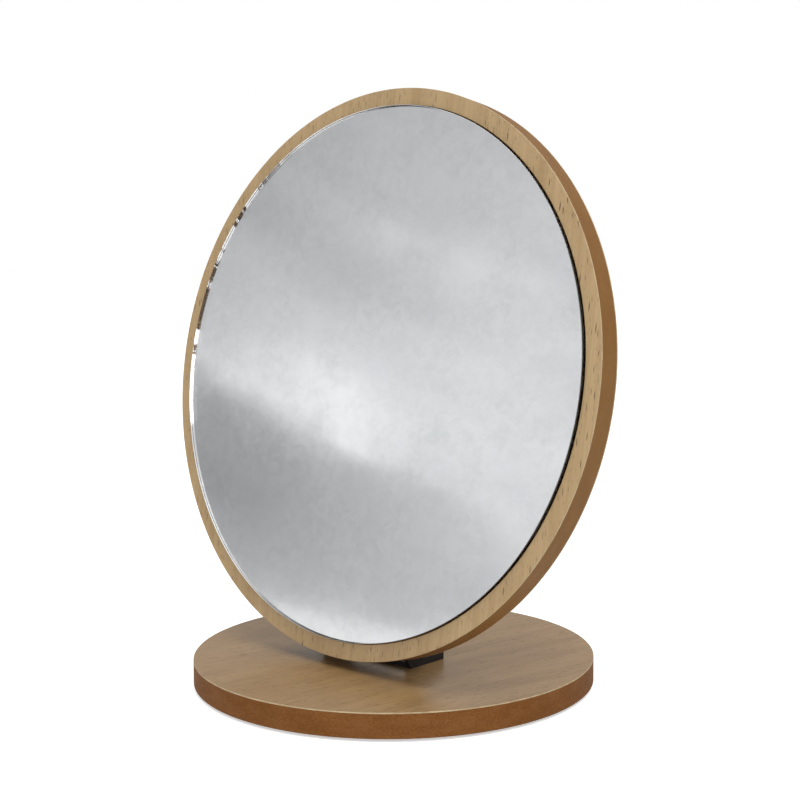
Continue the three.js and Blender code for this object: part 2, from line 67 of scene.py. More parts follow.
class NodeSheet:
    """A node tree under construction, with short ways to add nodes and join them."""

    def __init__(self, tree: bpy.types.NodeTree) -> None:
        """Takes the tree to work on.

        Args:
            tree: an empty shader node tree or shader node group.
        """
        self.tree = tree

    def add(self, kind: str, **settings: object) -> bpy.types.Node:
        """Adds one node.

        Args:
            kind: the node's type name.
            settings: properties to set on it.

        Returns:
            The new node.
        """
        node = self.tree.nodes.new(kind)
        for name, value in settings.items():
            setattr(node, name, value)
        return node

    def put(self, socket: Socket, value: object) -> None:
        """Gives an input a constant, or links it if the value is a socket.

        Args:
            socket: the input.
            value: a socket to link, or a number, colour or vector to set.
        """
        if isinstance(value, bpy.types.NodeSocket):
            self.tree.links.new(value, socket)
        else:
            socket.default_value = value

    def maths(self, operation: str, first: object, second: object = 0.0, clamp: bool = False) -> Socket:
        """Adds a Math node.

        Args:
            operation: the node's operation.
            first: its first value or socket.
            second: its second value or socket.
            clamp: keeps the result between 0 and 1.

        Returns:
            The result's socket.
        """
        node = self.add("ShaderNodeMath", operation=operation, use_clamp=clamp)
        self.put(node.inputs[0], first)
        self.put(node.inputs[1], second)
        return node.outputs[0]

    def remap(self, value: object, low: float, high: float, to_low: float, to_high: float) -> Socket:
        """Stretches a range of values to another, clamped at both ends.

        Args:
            value: the socket to read.
            low: the value that becomes to_low.
            high: the value that becomes to_high.
            to_low: the result at low.
            to_high: the result at high.

        Returns:
            The result's socket.
        """
        node = self.add("ShaderNodeMapRange", clamp=True)
        for name, given in zip(("Value", "From Min", "From Max", "To Min", "To Max"),
                               (value, low, high, to_low, to_high)):
            self.put(node.inputs[name], given)
        return node.outputs["Result"]

    def blend(self, factor: object, first: object, second: object, mode: str = "MIX") -> Socket:
        """Mixes two colours.

        Args:
            factor: how much of the second shows.
            first: a colour of three numbers, or a socket.
            second: a colour of three numbers, or a socket.
            mode: the blend mode.

        Returns:
            The mixed colour's socket.
        """
        node = self.add("ShaderNodeMix", data_type="RGBA", blend_type=mode, clamp_factor=True)
        self.put(node.inputs[0], factor)
        for slot, colour in ((6, first), (7, second)):
            self.put(node.inputs[slot], (*colour, 1.0) if isinstance(colour, tuple) else colour)
        return node.outputs[2]

    def stretched(self, vector: Socket, scale: Triple, shift: Triple = (0.0, 0.0, 0.0)) -> Socket:
        """Scales and shifts a coordinate.

        Args:
            vector: the coordinate.
            scale: the factor on each axis.
            shift: what is added after that.

        Returns:
            The new coordinate's socket.
        """
        node = self.add("ShaderNodeMapping")
        self.put(node.inputs["Vector"], vector)
        self.put(node.inputs["Scale"], scale)
        self.put(node.inputs["Location"], shift)
        return node.outputs["Vector"]

    def noise(self, vector: Socket, scale: float = 1.0, detail: float = 2.0, rough: float = 0.5,
              distort: float = 0.0) -> Socket:
        """Adds a noise texture.

        Args:
            vector: where it is read.
            scale: its frequency.
            detail: how many finer layers it has.
            rough: how strong those layers are.
            distort: how far it is warped.

        Returns:
            The noise value's socket.
        """
        node = self.add("ShaderNodeTexNoise")
        self.put(node.inputs["Vector"], vector)
        settings = {"Scale": scale, "Detail": detail, "Roughness": rough, "Distortion": distort}
        for name, value in settings.items():
            self.put(node.inputs[name], value)
        return node.outputs["Fac"]

    def dashes(self, vector: Socket, scale: Triple, size: float, amount: float) -> Socket:
        """Scatters short dashes over X and Y, one in some cells of a stretched grid, each with its own size.

        Args:
            vector: the coordinate, in millimetres.
            scale: cells per millimetre on each axis, so the dashes run along the smallest.
            size: the largest dash's radius in cells.
            amount: the share of cells that hold one.

        Returns:
            A mask that is 1 in a dash.
        """
        cells = self.add("ShaderNodeTexVoronoi", feature="F1", voronoi_dimensions="2D")
        self.put(cells.inputs["Vector"], self.stretched(vector, scale))
        self.put(cells.inputs["Scale"], 1.0)
        parts = self.add("ShaderNodeSeparateColor")
        self.put(parts.inputs["Color"], cells.outputs["Color"])
        reach = self.remap(parts.outputs["Red"], 1.0 - amount, 1.0, 0.0, size)
        edge = self.maths("SUBTRACT", reach, cells.outputs["Distance"])
        return self.remap(edge, 0.0, size * 0.45, 0.0, 1.0)


def effect(name: str, inputs: Iterable[tuple[str, str]], outputs: Iterable[str]) -> tuple[NodeSheet, dict]:
    """Opens a new shader node group.

    Args:
        name: the group's name.
        inputs: each input's name and socket type.
        outputs: the names of its number outputs.

    Returns:
        The sheet to build it on, and its inner end: inputs by name, and "out" for the group output node.
    """
    group = bpy.data.node_groups.new(name, "ShaderNodeTree")
    for label, kind in inputs:
        group.interface.new_socket(name=label, in_out="INPUT", socket_type=kind)
    for label in outputs:
        group.interface.new_socket(name=label, in_out="OUTPUT", socket_type="NodeSocketFloat")
    sheet = NodeSheet(group)
    entry = sheet.add("NodeGroupInput")
    ends = {label: entry.outputs[label] for label, _ in inputs}
    ends["out"] = sheet.add("NodeGroupOutput")
    return sheet, ends


def grain_effect() -> bpy.types.NodeTree:
    """Beech grain that runs along Y, read in millimetres: fine streaks, broad shade and short pores.

    Returns:
        The node group, with outputs Streaks, Shade and Pores.
    """
    sheet, ends = effect("beech grain", [("Vector", "NodeSocketVector"), ("Pore Share", "NodeSocketFloat")],
                         ["Streaks", "Shade", "Pores"])
    flat = sheet.stretched(ends["Vector"], (1.0, 1.0, 0.2))
    warp = sheet.add("ShaderNodeVectorMath", operation="MULTIPLY_ADD")
    drift = sheet.add("ShaderNodeTexNoise")
    sheet.put(drift.inputs["Vector"], sheet.stretched(flat, (0.03, 0.012, 0.03)))
    sheet.put(drift.inputs["Scale"], 1.0)
    sheet.put(warp.inputs[0], drift.outputs["Color"])
    sheet.put(warp.inputs[1], (5.0, 0.0, 0.0))
    sheet.put(warp.inputs[2], flat)
    bent = warp.outputs[0]
    streaks = sheet.noise(sheet.stretched(bent, (1.1, 0.035, 1.0)), detail=4.0, rough=0.62)
    shade = sheet.noise(sheet.stretched(bent, (0.11, 0.014, 0.5)), detail=2.0, rough=0.55, distort=0.4)
    long_pores = sheet.dashes(bent, (0.8, 0.11, 1.0), 0.22, 0.75)
    short_pores = sheet.dashes(bent, (1.6, 0.24, 1.0), 0.22, 0.6)
    gather = sheet.remap(sheet.noise(sheet.stretched(flat, (0.05, 0.03, 0.3))), 0.36, 0.58, 0.55, 1.0)
    pores = sheet.maths("MAXIMUM", long_pores, sheet.maths("MULTIPLY", short_pores, 0.6))
    share = sheet.maths("MULTIPLY", gather, ends["Pore Share"])
    sheet.put(ends["out"].inputs["Streaks"], sheet.remap(streaks, 0.3, 0.7, 0.0, 1.0))
    sheet.put(ends["out"].inputs["Shade"], sheet.remap(shade, 0.3, 0.7, 0.0, 1.0))
    sheet.put(ends["out"].inputs["Pores"], sheet.maths("MULTIPLY", pores, share, clamp=True))
    return sheet.tree


def fibre_effect() -> bpy.types.NodeTree:
    """Cut fibreboard with its thickness along Z, read in millimetres: pale and dark specks and soft clouds.

    Returns:
        The node group, with outputs Pale, Dark and Clouds.
    """
    sheet, ends = effect("board fibre", [("Vector", "NodeSocketVector")], ["Pale", "Dark", "Clouds"])
    vector = ends["Vector"]
    fine = sheet.noise(sheet.stretched(vector, (2.0, 2.0, 3.0)), detail=5.0, rough=0.7)
    across = sheet.stretched(vector, (0.9, 0.9, 4.5), (7.0, 3.0, 1.0))
    hairs = sheet.noise(across, detail=3.0, rough=0.6, distort=0.8)
    clouds = sheet.noise(sheet.stretched(vector, (0.09, 0.09, 0.25)), detail=3.0, rough=0.6)
    sheet.put(ends["out"].inputs["Pale"], sheet.remap(hairs, 0.53, 0.66, 0.0, 1.0))
    sheet.put(ends["out"].inputs["Dark"], sheet.remap(fine, 0.46, 0.6, 0.0, 1.0))
    sheet.put(ends["out"].inputs["Clouds"], sheet.remap(clouds, 0.34, 0.66, 0.0, 1.0))
    return sheet.tree


def relief_effect() -> bpy.types.NodeTree:
    """Fine surface relief, read in millimetres, for a coat, a moulding or foam.

    Returns:
        The node group, with outputs Height and Patches.
    """
    sheet, ends = effect("fine relief", [("Vector", "NodeSocketVector"), ("Fineness", "NodeSocketFloat")],
                         ["Height", "Patches"])
    grains = sheet.add("ShaderNodeTexNoise")
    sheet.put(grains.inputs["Vector"], ends["Vector"])
    sheet.put(grains.inputs["Scale"], ends["Fineness"])
    sheet.put(grains.inputs["Detail"], 3.0)
    patches = sheet.noise(ends["Vector"], 0.35, 3.0, 0.6)
    sheet.put(ends["out"].inputs["Height"], grains.outputs["Fac"])
    sheet.put(ends["out"].inputs["Patches"], sheet.remap(patches, 0.35, 0.65, 0.0, 1.0))
    return sheet.tree


def dust_and_sheen_effect() -> bpy.types.NodeTree:
    """A little settled dust and painted sheen: scattered specks and a thin pale film, read in millimetres.

    Returns:
        The node group, with the output Dust.
    """
    sheet, ends = effect("settled dust and painted sheen", [("Vector", "NodeSocketVector")], ["Dust"])
    # The thin pale film is partly dust and partly painted sheen.
    dust_and_sheen_film = sheet.remap(sheet.noise(ends["Vector"], 0.07, 4.0, 0.65), 0.45, 0.75, 0.0, 0.35)
    specks = sheet.dashes(ends["Vector"], (0.35, 0.3, 0.3), 0.045, 0.5)
    sheet.put(ends["out"].inputs["Dust"], sheet.maths("MAXIMUM", dust_and_sheen_film, specks, clamp=True))
    return sheet.tree


class Effect(Enum):
    """The shared effects, by the function that builds each."""

    GRAIN = "grain"
    FIBRE = "fibre"
    RELIEF = "relief"
    DUST_AND_SHEEN = "dust_and_sheen_node"


EFFECT_BUILDERS: dict[Effect, Callable[[], bpy.types.NodeTree]] = {
    Effect.GRAIN: grain_effect,
    Effect.FIBRE: fibre_effect,
    Effect.RELIEF: relief_effect,
    Effect.DUST_AND_SHEEN: dust_and_sheen_effect,
}


class EffectShelf:
    """Keeps each effect's node group, built when first asked for."""

    def __init__(self) -> None:
        """Starts with an empty shelf."""
        self.built: dict[Effect, bpy.types.NodeTree] = {}

    def place(self, sheet: NodeSheet, which: Effect, vector: Socket, **values: float) -> bpy.types.Node:
        """Places an effect in a material.

        Args:
            sheet: the material's sheet.
            which: the effect.
            vector: the coordinate that it reads, in millimetres.
            values: its number inputs, with an underscore for each space.

        Returns:
            The group node.
        """
        if which not in self.built:
            self.built[which] = EFFECT_BUILDERS[which]()
        node = sheet.add("ShaderNodeGroup", node_tree=self.built[which])
        sheet.put(node.inputs["Vector"], vector)
        for name, value in values.items():
            sheet.put(node.inputs[name.replace("_", " ")], value)
        return node


SHELF = EffectShelf()


# ---------------------------------------------------------------- finishes


@dataclass(frozen=True)
class Lie:
    """How a pattern lies on the object: turned about a point, then read in millimetres."""

    turn: Triple = (0.0, 0.0, 0.0)
    about: Triple = (0.0, 0.0, 0.0)

    def coordinate(self, sheet: NodeSheet) -> Socket:
        """Adds the nodes that read it.

        Args:
            sheet: the material's sheet.

        Returns:
            The coordinate's socket.
        """
        place = sheet.add("ShaderNodeTexCoord")
        node = sheet.add("ShaderNodeMapping")
        moved = Euler(self.turn).to_matrix() @ Vector(self.about) / MM
        sheet.put(node.inputs["Vector"], place.outputs["Object"])
        sheet.put(node.inputs["Scale"], (1 / MM, 1 / MM, 1 / MM))
        sheet.put(node.inputs["Rotation"], self.turn)
        sheet.put(node.inputs["Location"], tuple(-moved))
        return node.outputs["Vector"]


@dataclass(frozen=True)
class Finish:
    """What every finish has: a name, and a shader with its constants set on the shader itself."""

    name: str
    lie: Lie = Lie()

    def open(self) -> tuple[bpy.types.Material, NodeSheet, bpy.types.Node]:
        """Starts the material.

        Returns:
            The material, its sheet and its main shader.
        """
        made = bpy.data.materials.new(self.name)
        made.use_nodes = True
        made.node_tree.nodes.clear()
        sheet = NodeSheet(made.node_tree)
        shader = sheet.add("ShaderNodeBsdfPrincipled")
        sheet.put(sheet.add("ShaderNodeOutputMaterial").inputs["Surface"], shader.outputs["BSDF"])
        return made, sheet, shader

    def rough_up(self, sheet: NodeSheet, shader: bpy.types.Node, height: Socket, depth_mm: float) -> None:
        """Adds relief to the shader.

        Args:
            sheet: the material's sheet.
            shader: its main shader.
            height: the relief's height, from 0 to 1.
            depth_mm: what a height of 1 stands for.
        """
        bump = sheet.add("ShaderNodeBump")
        sheet.put(bump.inputs["Strength"], 1.0)
        sheet.put(bump.inputs["Distance"], depth_mm * MM)
        sheet.put(bump.inputs["Height"], height)
        sheet.put(shader.inputs["Normal"], bump.outputs["Normal"])


@dataclass(frozen=True)
class BeechLaminate(Finish):
    """Printed beech foil with a satin face."""

    pale: Colour = (0.455, 0.322, 0.168)
    dark: Colour = (0.32, 0.207, 0.095)
    pore: Colour = (0.09, 0.052, 0.022)
    pore_share: float = 1.0
    roughness: float = 0.36
    shine: float = 0.4
    # How strongly a pale film and specks show: partly settled dust, partly painted sheen.
    dust_and_sheen: float = 0.0

    def material(self) -> bpy.types.Material:
        """Builds the finish.

        Returns:
            The material.
        """
        made, sheet, shader = self.open()
        vector = self.lie.coordinate(sheet)
        grain = SHELF.place(sheet, Effect.GRAIN, vector, Pore_Share=self.pore_share)
        shade = sheet.maths("ADD", sheet.maths("MULTIPLY", grain.outputs["Streaks"], 0.55),
                            sheet.maths("MULTIPLY", grain.outputs["Shade"], 0.5))
        wood = sheet.blend(sheet.maths("SUBTRACT", shade, 0.05, clamp=True), self.pale, self.dark)
        wood = sheet.blend(sheet.maths("MULTIPLY", grain.outputs["Pores"], 0.92), wood, self.pore)
        # Pale film and specks: partly settled dust, partly painted sheen that whitens the satin face.
        dust_and_sheen_node = SHELF.place(sheet, Effect.DUST_AND_SHEEN, vector)
        dust_and_sheen_film = sheet.maths("MULTIPLY", dust_and_sheen_node.outputs["Dust"], self.dust_and_sheen)
        sheet.put(shader.inputs["Base Color"], sheet.blend(dust_and_sheen_film, wood, (0.62, 0.58, 0.52)))
        rough = sheet.remap(grain.outputs["Streaks"], 0.0, 1.0, self.roughness - 0.04, self.roughness + 0.05)
        rough = sheet.maths("ADD", rough, sheet.maths("MULTIPLY", grain.outputs["Pores"], 0.2))
        sheet.put(shader.inputs["Roughness"], sheet.maths("ADD", rough, sheet.maths("MULTIPLY", dust_and_sheen_film, 0.3)))
        sheet.put(shader.inputs["Specular IOR Level"], self.shine)
        dips = sheet.maths("MULTIPLY", grain.outputs["Pores"], -1.0)
        relief = sheet.maths("ADD", dips, sheet.maths("MULTIPLY", grain.outputs["Streaks"], 0.25))
        self.rough_up(sheet, shader, relief, 0.02)
        return made


@dataclass(frozen=True)
class BoardEdge(Finish):
    """The cut edge of fibreboard, stained and sealed."""

    body: Colour = (0.17, 0.06, 0.009)
    pale: Colour = (0.27, 0.115, 0.034)
    dark: Colour = (0.07, 0.024, 0.006)
    speckle: float = 1.0
    roughness: float = 0.62
    shine: float = 0.15

    def material(self) -> bpy.types.Material:
        """Builds the finish.

        Returns:
            The material.
        """
        made, sheet, shader = self.open()
        fibre = SHELF.place(sheet, Effect.FIBRE, self.lie.coordinate(sheet))
        clouds = fibre.outputs["Clouds"]
        body = sheet.blend(sheet.maths("MULTIPLY", clouds, 0.4), self.body, self.pale)
        for mark, strength, colour in (("Dark", 0.45, self.dark), ("Pale", 0.6, self.pale)):
            shown = sheet.maths("MULTIPLY", fibre.outputs[mark], strength * self.speckle)
            body = sheet.blend(shown, body, colour)
        sheet.put(shader.inputs["Base Color"], body)
        sheet.put(shader.inputs["Roughness"],
                  sheet.remap(fibre.outputs["Dark"], 0.0, 1.0, self.roughness, self.roughness + 0.15))
        sheet.put(shader.inputs["Specular IOR Level"], self.shine)
        relief = sheet.maths("SUBTRACT", fibre.outputs["Pale"], fibre.outputs["Dark"])
        self.rough_up(sheet, shader, relief, 0.03 * self.speckle)
        return made


@dataclass(frozen=True)
class CutPaper(Finish):
    """The cut edge of the laminate, where its pale paper shows."""

    pale: Colour = (0.5, 0.4, 0.25)
    dark: Colour = (0.3, 0.21, 0.11)

    def material(self) -> bpy.types.Material:
        """Builds the finish.

        Returns:
            The material.
        """
        made, sheet, shader = self.open()
        vector = self.lie.coordinate(sheet)
        wear = sheet.remap(sheet.noise(vector, 0.25, 4.0, 0.65), 0.35, 0.7, 0.0, 0.8)
        sheet.put(shader.inputs["Base Color"], sheet.blend(wear, self.pale, self.dark))
        sheet.put(shader.inputs["Roughness"], sheet.remap(wear, 0.0, 0.8, 0.55, 0.75))
        sheet.put(shader.inputs["Specular IOR Level"], 0.3)
        return made


@dataclass(frozen=True)
class Coating(Finish):
    """A coated or moulded surface of one colour, with fine relief and slightly uneven gloss."""

    colour: Colour = (0.01, 0.01, 0.0105)
    uneven: Colour = (0.018, 0.0175, 0.0175)
    metallic: float = 0.0
    shine: float = 0.5
    roughness: float = 0.42
    spread: float = 0.12
    fineness: float = 3.0
    depth_mm: float = 0.012

    def material(self) -> bpy.types.Material:
        """Builds the finish.

        Returns:
            The material.
        """
        made, sheet, shader = self.open()
        relief = SHELF.place(sheet, Effect.RELIEF, self.lie.coordinate(sheet), Fineness=self.fineness)
        patches = relief.outputs["Patches"]
        sheet.put(shader.inputs["Base Color"], sheet.blend(patches, self.colour, self.uneven))
        sheet.put(shader.inputs["Metallic"], self.metallic)
        sheet.put(shader.inputs["Specular IOR Level"], self.shine)
        sheet.put(shader.inputs["Roughness"],
                  sheet.remap(patches, 0.0, 1.0, self.roughness, self.roughness + self.spread))
        self.rough_up(sheet, shader, relief.outputs["Height"], self.depth_mm)
        return made


@dataclass(frozen=True)
class ClearGlass(Finish):
    """The glass itself, with edges that are cut and only lightly seamed."""

    tint: Colour = (0.985, 0.99, 0.988)
    roughness: float = 0.0
    uneven: float = 0.0

    def material(self) -> bpy.types.Material:
        """Builds the finish.

        Returns:
            The material.
        """
        made, sheet, shader = self.open()
        relief = SHELF.place(sheet, Effect.RELIEF, self.lie.coordinate(sheet), Fineness=0.9)
        sheet.put(shader.inputs["Base Color"], (*self.tint, 1.0))
        sheet.put(shader.inputs["Transmission Weight"], 1.0)
        sheet.put(shader.inputs["IOR"], 1.52)
        rough = sheet.remap(relief.outputs["Patches"], 0.0, 1.0, self.roughness, self.roughness + self.uneven)
        sheet.put(shader.inputs["Roughness"], rough)
        return made


@dataclass(frozen=True)
class Silvering(Finish):
    """The silver on the back of the glass, seen through it, a little hazy, with darker patches painted into
    its colour as a painted mottled reflection.
    """

    colour: Colour = (0.93, 0.93, 0.94)
    painted_mottle_tone: Colour = (0.845, 0.86, 0.858)
    spoilt: Colour = (0.075, 0.045, 0.022)
    roughness: float = 0.045
    spread: float = 0.05
    wave_mm: float = 0.003
    centre_mm: float = 95.9
    sound_mm: float = 96.2

    def material(self) -> bpy.types.Material:
        """Builds the finish.

        Returns:
            The material.
        """
        made, sheet, shader = self.open()
        vector = self.lie.coordinate(sheet)
        haze = sheet.noise(vector, 0.04, 4.0, 0.6)
        grain = sheet.noise(vector, 0.8, 4.0, 0.6)
        mottle = sheet.remap(sheet.noise(vector, 0.22, 4.0, 0.65, 0.5), 0.4, 0.62, 0.0, 1.0)
        # Painted reflection: darker cloudy patches in the silver's colour stand in for a mottled reflection
        # in the glass.
        painted_mottle_mask = sheet.maths("MULTIPLY", sheet.remap(haze, 0.35, 0.65, 0.3, 1.0), mottle)
        silver = sheet.blend(painted_mottle_mask, self.colour, self.painted_mottle_tone)
        sheet.put(shader.inputs["Base Color"], sheet.blend(self.spoiling(sheet, vector), silver, self.spoilt))
        sheet.put(shader.inputs["Metallic"], 1.0)
        sheet.put(shader.inputs["Roughness"],
                  sheet.remap(haze, 0.35, 0.65, self.roughness, self.roughness + self.spread))
        waves = sheet.maths("ADD", haze, sheet.maths("MULTIPLY", grain, 0.5))
        self.rough_up(sheet, shader, waves, self.wave_mm)
        return made

    def spoiling(self, sheet: NodeSheet, vector: Socket) -> Socket:
        """Marks where damp has spoilt the silver, in spots along the upper left of its rim.

        Args:
            sheet: the material's sheet.
            vector: the coordinate, in millimetres.

        Returns:
            A mask that is 1 where the silver is gone.
        """
        about = sheet.stretched(vector, (1.0, 1.0, 0.0), (0.0, -self.centre_mm, 0.0))
        parts = sheet.add("ShaderNodeSeparateXYZ")
        sheet.put(parts.inputs["Vector"], about)
        reach = sheet.add("ShaderNodeVectorMath", operation="LENGTH")
        sheet.put(reach.inputs[0], about)
        rim = sheet.remap(reach.outputs["Value"], self.sound_mm - 0.3, self.sound_mm + 0.3, 0.0, 1.0)
        left = sheet.remap(parts.outputs["X"], -45.0, -70.0, 0.0, 1.0)
        upper = sheet.remap(parts.outputs["Y"], -8.0, 4.0, 0.0, 1.0)
        spots = sheet.remap(sheet.noise(vector, 0.12, 4.0, 0.6), 0.47, 0.52, 0.0, 1.0)
        place = sheet.maths("MULTIPLY", left, upper)
        return sheet.maths("MULTIPLY", sheet.maths("MULTIPLY", rim, spots), place)


# ---------------------------------------------------------------- modelling with operators


def lay_down_tools() -> None:
    """Leaves edit mode and deselects everything."""
    if bpy.context.object is not None and bpy.context.object.mode != "OBJECT":
        bpy.ops.object.mode_set(mode="OBJECT")
    bpy.ops.object.select_all(action="DESELECT")


def take_up(piece: bpy.types.Object) -> None:
    """Selects one piece alone and makes it active.

    Args:
        piece: the piece to work on.
    """
    lay_down_tools()
    piece.select_set(True)
    bpy.context.view_layer.objects.active = piece


def pick_points(test: Callable[[Vector], bool]) -> None:
    """Selects, in edit mode, the points that pass a test.

    Args:
        test: is given each point's place.
    """
    bpy.ops.mesh.select_all(action="DESELECT")
    bpy.ops.mesh.select_mode(type="VERT")
    data = bpy.context.object.data
    grid = bmesh.from_edit_mesh(data)
    for point in grid.verts:
        point.select_set(test(point.co))
    grid.select_flush(True)
    bmesh.update_edit_mesh(data)


def use_modifier(piece: bpy.types.Object, kind: str, **settings: object) -> None:
    """Adds a modifier and applies it.

    Args:
        piece: the piece.
        kind: the modifier's type.
        settings: its properties.
    """
    take_up(piece)
    modifier = piece.modifiers.new(kind.lower(), kind)
    for name, value in settings.items():
        setattr(modifier, name, value)
    bpy.ops.object.modifier_apply(modifier=modifier.name)


def smooth(piece: bpy.types.Object, angle_deg: float = 40.0) -> None:
    """Shades a piece smooth but for its sharp edges, and keeps its flat faces flat.

    Args:
        piece: the piece.
        angle_deg: edges sharper than this stay sharp.
    """
    take_up(piece)
    bpy.ops.object.shade_smooth_by_angle(angle=math.radians(angle_deg))
    use_modifier(piece, "WEIGHTED_NORMAL", keep_sharp=True)


def bake_place(piece: bpy.types.Object, place: Matrix) -> None:
    """Moves a piece to its place and puts that place in its mesh.

    Args:
        piece: a piece modelled about the origin.
        place: where it goes.
    """
    take_up(piece)
    piece.matrix_world = place
    bpy.ops.object.transform_apply(location=True, rotation=True, scale=True)


@dataclass(frozen=True)
class Corner:
    """A corner of a turned outline, in millimetres: its radius, its height and its rounding."""

    radius: float
    height: float
    rounding: float = 0.0


def spun(name: str, outline: list[Corner], sides: int) -> bpy.types.Object:
    """Turns a closed outline about Z, as on a lathe.

    Args:
        name: the piece's name.
        outline: the outline's corners, in order.
        sides: steps in the full turn.

    Returns:
        The piece, about the origin.
    """
    lay_down_tools()
    bpy.ops.mesh.primitive_circle_add(vertices=len(outline), radius=1.0, fill_type="NGON")
    piece = bpy.context.object
    piece.name = piece.data.name = name
    for point, corner in zip(piece.data.vertices, outline):
        point.co = Vector((corner.radius, 0.0, corner.height)) * MM
    bpy.ops.object.mode_set(mode="EDIT")
    for corner in outline:
        if corner.rounding > 0:
            spot = Vector((corner.radius, 0.0, corner.height)) * MM
            pick_points(lambda place, spot=spot: (place - spot).length < SAME_PLACE)
            bpy.ops.mesh.bevel(offset=corner.rounding * MM, segments=ROUNDING_STEPS, affect="VERTICES",
                               clamp_overlap=True)
    bpy.ops.mesh.select_all(action="SELECT")
    bpy.ops.mesh.delete(type="ONLY_FACE")
    bpy.ops.mesh.select_all(action="SELECT")
    bpy.ops.mesh.spin(steps=sides, angle=math.tau, center=(0.0, 0.0, 0.0), axis=(0.0, 0.0, 1.0))
    bpy.ops.mesh.select_all(action="SELECT")
    bpy.ops.mesh.remove_doubles(threshold=SAME_PLACE)
    bpy.ops.mesh.delete_loose(use_verts=True, use_edges=True, use_faces=False)
    bpy.ops.mesh.select_all(action="SELECT")
    bpy.ops.mesh.normals_make_consistent(inside=False)
    bpy.ops.object.mode_set(mode="OBJECT")
    return piece


def softened(name: str, node: str, width_mm: float) -> bpy.types.Object:
    """Copies a metal node's shape, joins its loose faces and rounds its edges.

    Args:
        name: the new piece's name.
        node: the node to copy.
        width_mm: the width of the rounding.

    Returns:
        The piece, in its place.
    """
    piece = bpy.data.objects.new(name, frame["nodes"][node].data.copy())
    bpy.context.scene.collection.objects.link(piece)
    piece.data.name = name
    piece.data.materials.clear()
    take_up(piece)
    bpy.ops.object.mode_set(mode="EDIT")
    bpy.ops.mesh.select_all(action="SELECT")
    bpy.ops.mesh.remove_doubles(threshold=2e-6)
    bpy.ops.mesh.dissolve_limited(angle_limit=math.radians(0.5))
    bpy.ops.object.mode_set(mode="OBJECT")
    use_modifier(piece, "BEVEL", width=width_mm * MM, segments=2, limit_method="ANGLE",
                 angle_limit=math.radians(35.0), use_clamp_overlap=True)
    return piece


def dress_sides(piece: bpy.types.Object, finish: Finish) -> None:
    """Gives the upright faces of a disc, still flat about Z, a second finish.

    Args:
        piece: the disc, before it is put in its place.
        finish: the finish of its sides.
    """
    piece.data.materials.append(dressed(finish))
    for face in piece.data.polygons:
        if abs(face.normal.z) < 0.6:
            face.material_index = len(piece.data.materials) - 1


def hand_over(piece: bpy.types.Object, body: str, nodes: Iterable[str]) -> None:
    """Tells the frame what a finished piece rides on and stands for.

    Args:
        piece: the finished piece.
        body: the body that it rides on.
        nodes: the nodes that it stands for.
    """
    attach(piece, body)
    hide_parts(*nodes)
    LOG.info("%s: %d faces on %s", piece.name, len(piece.data.polygons), body)


# ---------------------------------------------------------------- where things are


@dataclass(frozen=True)
class HingeLine:
    """The hinge line and the mirror's lean, from the frame's own joint and the board's sizes."""

    axis: Vector
    tilt_deg: float = 9.3
    board_gap: float = 8.1
    board_below: float = 8.1
    board_radius: float = 104.0

    def tilted(self) -> Matrix:
        """Where the leaning parts' own frame is: Z up the board, Y out of its back."""
        return Matrix.Translation(self.axis) @ Matrix.Rotation(-math.radians(self.tilt_deg), 4, "X")

    def board_back(self) -> Matrix:
        """The frame at the centre of the board's back: Z out of its face and Y up it."""
        centre = Vector((0.0, -self.board_gap, self.board_radius - self.board_below)) * MM
        return self.tilted() @ Matrix.Translation(centre) @ Matrix.Rotation(math.pi / 2, 4, "X")

    def across(self) -> Matrix:
        """The frame with its Z along the hinge line."""
        return Matrix.Translation(self.axis) @ Matrix.Rotation(math.pi / 2, 4, "Y")

    def board_lie(self) -> Lie:
        """How patterns lie on the board: grain up it, thickness along Z."""
        turn = math.radians(self.tilt_deg) - math.pi / 2
        return Lie((turn, 0.0, 0.0), tuple(self.axis))


# ---------------------------------------------------------------- sub-assemblies


